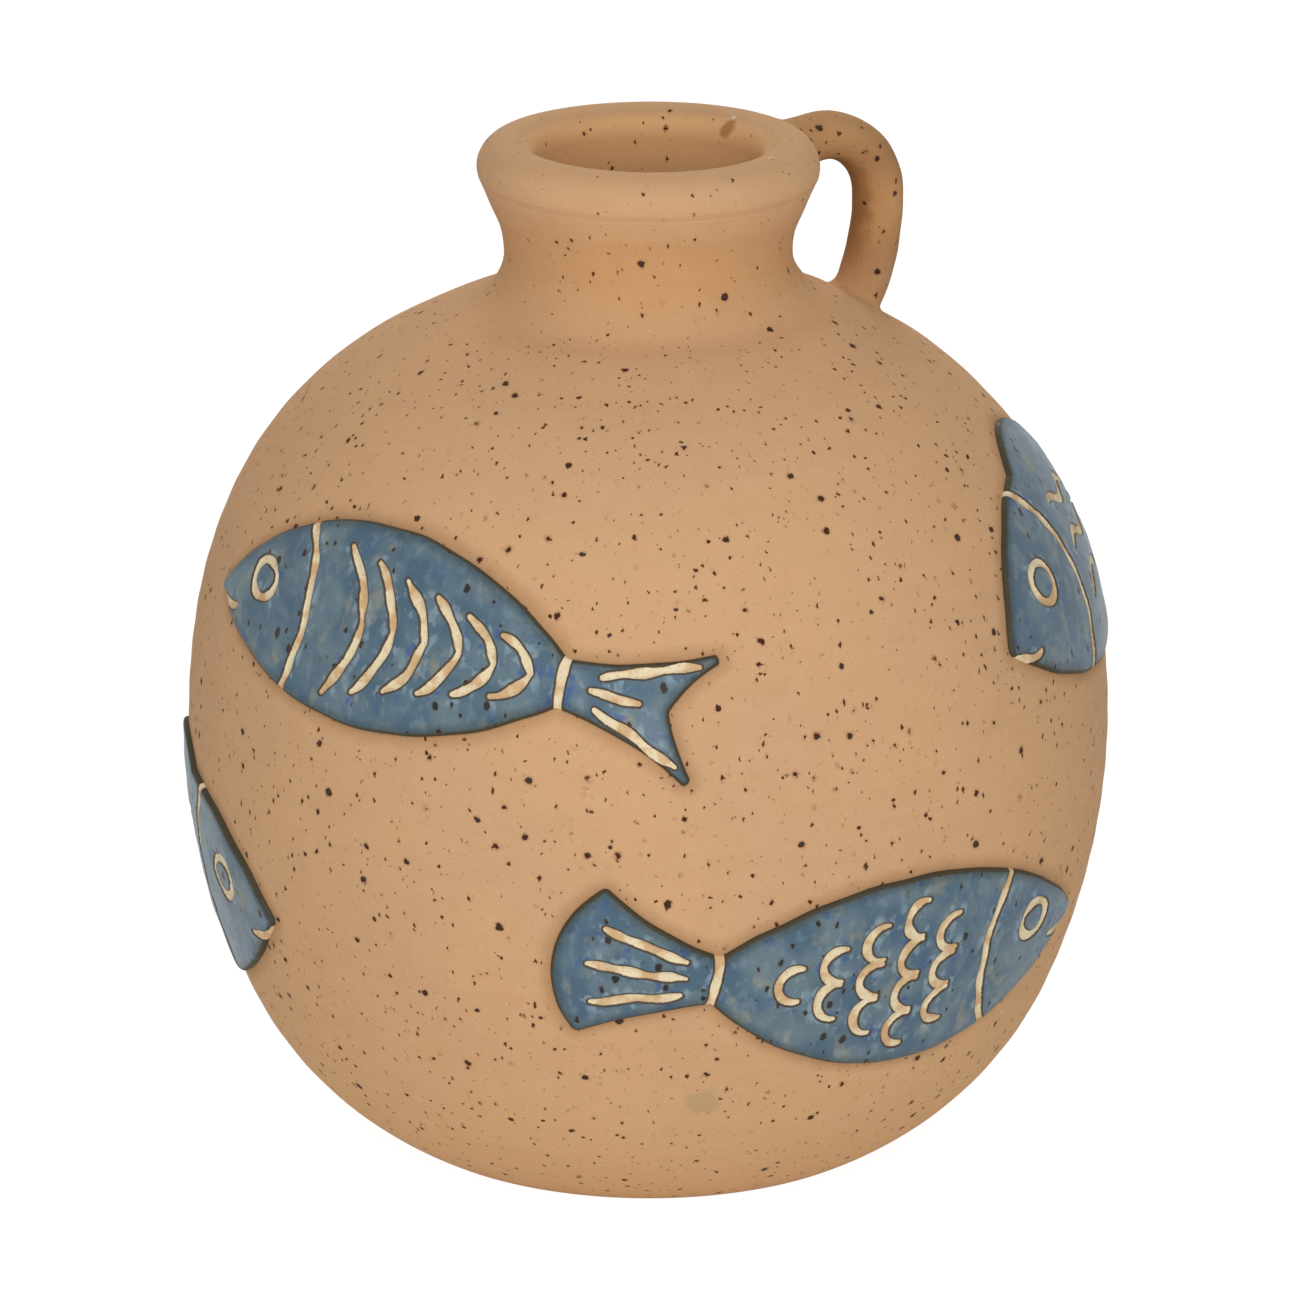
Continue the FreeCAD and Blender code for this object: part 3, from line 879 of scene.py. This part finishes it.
def glaze():
    """Satin slate-blue glaze over the iron-bearing clay, with the wiped lines in cream."""
    material = bpy.data.materials.new("slate_blue_glaze")
    coat = Finish(material)
    where = coat.place()
    edge = coat.add("ShaderNodeAttribute", {"attribute_name": "edge"}, out="Fac")
    line = coat.add("ShaderNodeAttribute", {"attribute_name": "line"}, out="Fac")
    pool = coat.add("ShaderNodeAttribute", {"attribute_name": "pool"}, out="Fac")
    crumb = coat.cloud(where, 0.9, 3.0) - 0.5
    drift = coat.cloud(where, 9, 3.0)
    flecks = coat.cloud(coat.stretched(where, (1, 1, 0.7)), 2.2, 4.0)
    strokes = coat.cloud(coat.stretched(where, (1, 1, 0.7)), 5.5, 3.0)

    blue = coat.tint(coat.rise(drift, 0.36, 0.66), srgb(78, 103, 121), srgb(104, 124, 133))
    thin = coat.rise(strokes, 0.57, 0.70)
    colour = coat.tint(0.5 * thin, blue, srgb(152, 148, 130))
    beside_line = coat.rise(line, 0.2, 0.5) * (1 - coat.rise(line, 0.9, 2.6))
    milky = coat.rise(flecks, 0.52, 0.64) * (0.3 + 0.7 * beside_line)
    colour = coat.tint(0.6 * milky, colour, srgb(146, 166, 176))
    cobalt = coat.rise(coat.cloud(where, 4.2, 3.0), 0.58, 0.68)
    gather = (1 - coat.rise(edge, 0.7, 3.4)).higher(0.8 * beside_line)
    deep = (cobalt * (0.25 + 0.75 * gather)).higher(coat.rise(pool + 0.5 * crumb, 0.45, 0.75))
    colour = coat.tint(0.7 * deep, colour, srgb(52, 80, 150))
    darker = coat.tint(0.65, colour, srgb(62, 76, 76))
    colour = coat.tint(1 - coat.rise(edge + 1.2 * crumb, 0.7, 3.0), colour, darker)

    tear = coat.add("ShaderNodeVectorMath", {"operation": "MULTIPLY_ADD"},
                   {0: coat.cloud(where, 1.2, 3.0, out="Color"), 1: (0.0012,) * 3, 2: where})
    run = coat.stretched(tear, (1, 1, 0.6))
    grains, near, held, shade = specks(coat, run, 2.4, 0.52, 0.24, 0.80)
    halo = held * (1 - coat.rise(near, 0.9, 1.8)) * 0.5
    colour = coat.tint(halo, colour, srgb(96, 104, 90))
    colour = coat.tint(grains * 0.93, colour, coat.tint(shade, srgb(56, 34, 28), srgb(28, 26, 29)))
    _, near, held, _ = specks(coat, where, 9, 0.35, 0.5, 0.75)      # burst bubbles
    circle = held * coat.rise(near, 0.55, 0.8) * (1 - coat.rise(near, 0.95, 1.2))
    colour = coat.tint(circle * 0.55, colour, srgb(52, 66, 68))

    burnt = srgb(72, 63, 42)
    rim_line = 1 - coat.rise(edge + 0.6 * crumb, 0.40, 1.0)
    colour = coat.tint(rim_line * 0.92, colour, burnt)
    cut = line + 0.28 * crumb
    border = coat.rise(cut, -0.20, -0.06) * (1 - coat.rise(cut, 0.18, 0.46))
    slip = coat.tint(coat.rise(coat.cloud(where, 5, 2.0), 0.42, 0.62), srgb(236, 220, 184),
                    srgb(214, 178, 134))
    gritty = coat.rise(coat.cloud(where, 0.7, 2.0), 0.5, 0.75)
    slip = coat.tint(0.35 * gritty, slip, srgb(176, 136, 94))
    inside = 1 - coat.rise(cut, -0.12, -0.02)
    colour = coat.tint(inside, colour, slip)
    colour = coat.tint(border * 0.9, colour, srgb(72, 58, 38))

    bare = inside.higher(rim_line * 0.7)
    relief = (0.04 * coat.cloud(where, 1.6, 3.0) + 0.12 * drift + 0.10 * inside * crumb
              - 0.05 * circle + 0.03 * grains)
    bump = coat.add("ShaderNodeBump", None, {"Strength": 1.0, "Distance": mm, "Height": relief})
    shader = coat.add("ShaderNodeBsdfPrincipled", None, {
        "Base Color": colour, "Roughness": 0.40 + 0.10 * thin - 0.16 * deep + 0.42 * bare,
        "Coat Weight": 0.05 * (1 - bare), "Coat Roughness": 0.12, "Specular IOR Level": 0.16,
        "Normal": bump})
    coat.add("ShaderNodeOutputMaterial", None, {"Surface": shader})
    return material


blue_glaze = glaze()
body_places = corners(body.data) / mm
on_outside = off_wall(body_places)[0] > -2.5
painted_fish_shade = np.zeros(len(body_places))

for number, (node, (direction, height, tilt, swims, kind)) in enumerate(shoal.items()):
    chance = random.Random(40 + number)
    outline = fish_outline(kind, chance)
    low, high = outline.min(0) - 1, outline.max(0) + 1
    sheet = bmesh.new()
    columns, rows = (round(size / weave) for size in (high - low))
    bmesh.ops.create_grid(sheet, x_segments=columns, y_segments=rows, size=0.5)
    for vertex in sheet.verts:
        vertex.co.x = low[0] + (vertex.co.x + 0.5) * (high[0] - low[0])
        vertex.co.y = low[1] + (vertex.co.y + 0.5) * (high[1] - low[1])
    flat = np.array([vertex.co.xy for vertex in sheet.verts])
    inside, nearest = inside_outline(flat, outline)
    outer = [vertex for vertex, depth in zip(sheet.verts, inside) if depth < -0.55 * weave]
    places = {vertex: nearest[index] for index, vertex in enumerate(sheet.verts)}
    bmesh.ops.delete(sheet, geom=outer, context="VERTS")
    loose = [vertex for vertex in sheet.verts if not vertex.link_faces]
    bmesh.ops.delete(sheet, geom=loose, context="VERTS")
    for vertex in sheet.verts:
        if vertex.is_boundary:
            vertex.co.xy = places[vertex]
    near_edge = [vertex for vertex in sheet.verts if not vertex.is_boundary
                 and math.dist(vertex.co.xy, places[vertex]) < 3 * weave]
    for _ in range(4):
        bmesh.ops.smooth_vert(sheet, verts=near_edge, factor=0.5, use_axis_x=True,
                              use_axis_y=True)
    pushed = bmesh.ops.extrude_face_region(sheet, geom=sheet.faces[:], use_keep_orig=True)
    raised = {part for part in pushed["geom"] if isinstance(part, bmesh.types.BMVert)}
    bmesh.ops.recalc_face_normals(sheet, faces=sheet.faces)
    flat = np.array([vertex.co.xy for vertex in sheet.verts])
    on_top = np.array([vertex in raised for vertex in sheet.verts])

    edge = np.maximum(inside_outline(flat, outline)[0], 0)
    line = np.full(len(flat), no_line)
    for points, halves in scratched(kind, chance):
        close = np.all((flat > points.min(0) - 4) & (flat < points.max(0) + 4), axis=1)
        if close.any():
            line[close] = np.minimum(line[close], beside_cut(flat[close], points, halves))
    nose = bent(np.array([[0.0, 0.0]]), kind)[0]
    pool = np.clip(1 - (np.hypot(*(flat - nose).T) - 2.5) / 7, 0, 1)
    pool = pool * np.clip(1 - edge / 3.2, 0, 1)

    share = np.clip(edge / edge_round, 0, 1)
    thick = fish_relief * (sheet_edge + (1 - sheet_edge) * np.sqrt(1 - (1 - share) ** 2))
    uneven = 0.09 * np.sin(flat[:, 0] / 5.3 + number) * np.sin(flat[:, 1] / 4.1 + 2 * number)
    groove = np.clip((0.12 - line) / 0.62, 0, 1)
    groove = groove * groove * (3 - 2 * groove)
    burr = 0.08 * np.exp(-((line - 0.3) / 0.22) ** 2)
    thick = thick + (uneven + burr) * share - line_depth * groove * np.clip(edge / 0.5, 0.35, 1)
    thick = np.where(on_top, thick, -under)

    middle, along, up, outward = fish_frame(direction, height, tilt)
    ahead = bend * np.sin(flat[:, 0] / bend) * swims
    spots = middle + ahead[:, None] * along + flat[:, 1:2] * up
    for _ in range(8):
        gap, out = off_wall(spots)
        spots = spots - (gap / (out @ outward))[:, None] * outward
    gap, out = off_wall(spots)
    spots = spots + out * thick[:, None]
    for vertex, spot in zip(sheet.verts, spots):
        vertex.co = spot
    if swims < 0:
        bmesh.ops.recalc_face_normals(sheet, faces=sheet.faces)
    fired(sheet, "glazed_" + node, node, blue_glaze,
          {"edge": edge, "line": line, "pool": pool})

    # Painted shade: the bare clay is darker close round this fish.
    from_middle = body_places - middle
    seen_flat = np.stack([from_middle @ along * swims, from_middle @ up], -1)
    beside_fish = on_outside & (from_middle @ outward > -45) & (abs(seen_flat[:, 0]) < 85)
    beside_fish &= abs(seen_flat[:, 1]) < 42
    seen_flat = seen_flat[beside_fish]
    seen_flat[:, 0] = bend * np.arcsin(np.clip(seen_flat[:, 0] / bend, -1, 1))
    depth = inside_outline(seen_flat, outline)[0]
    painted_fish_shade[beside_fish] = np.maximum(painted_fish_shade[beside_fish], np.clip(1 + depth / 7, 0, 1))

body.data.attributes.new("painted_fish_shade", "FLOAT", "POINT").data.foreach_set("value", painted_fish_shade)
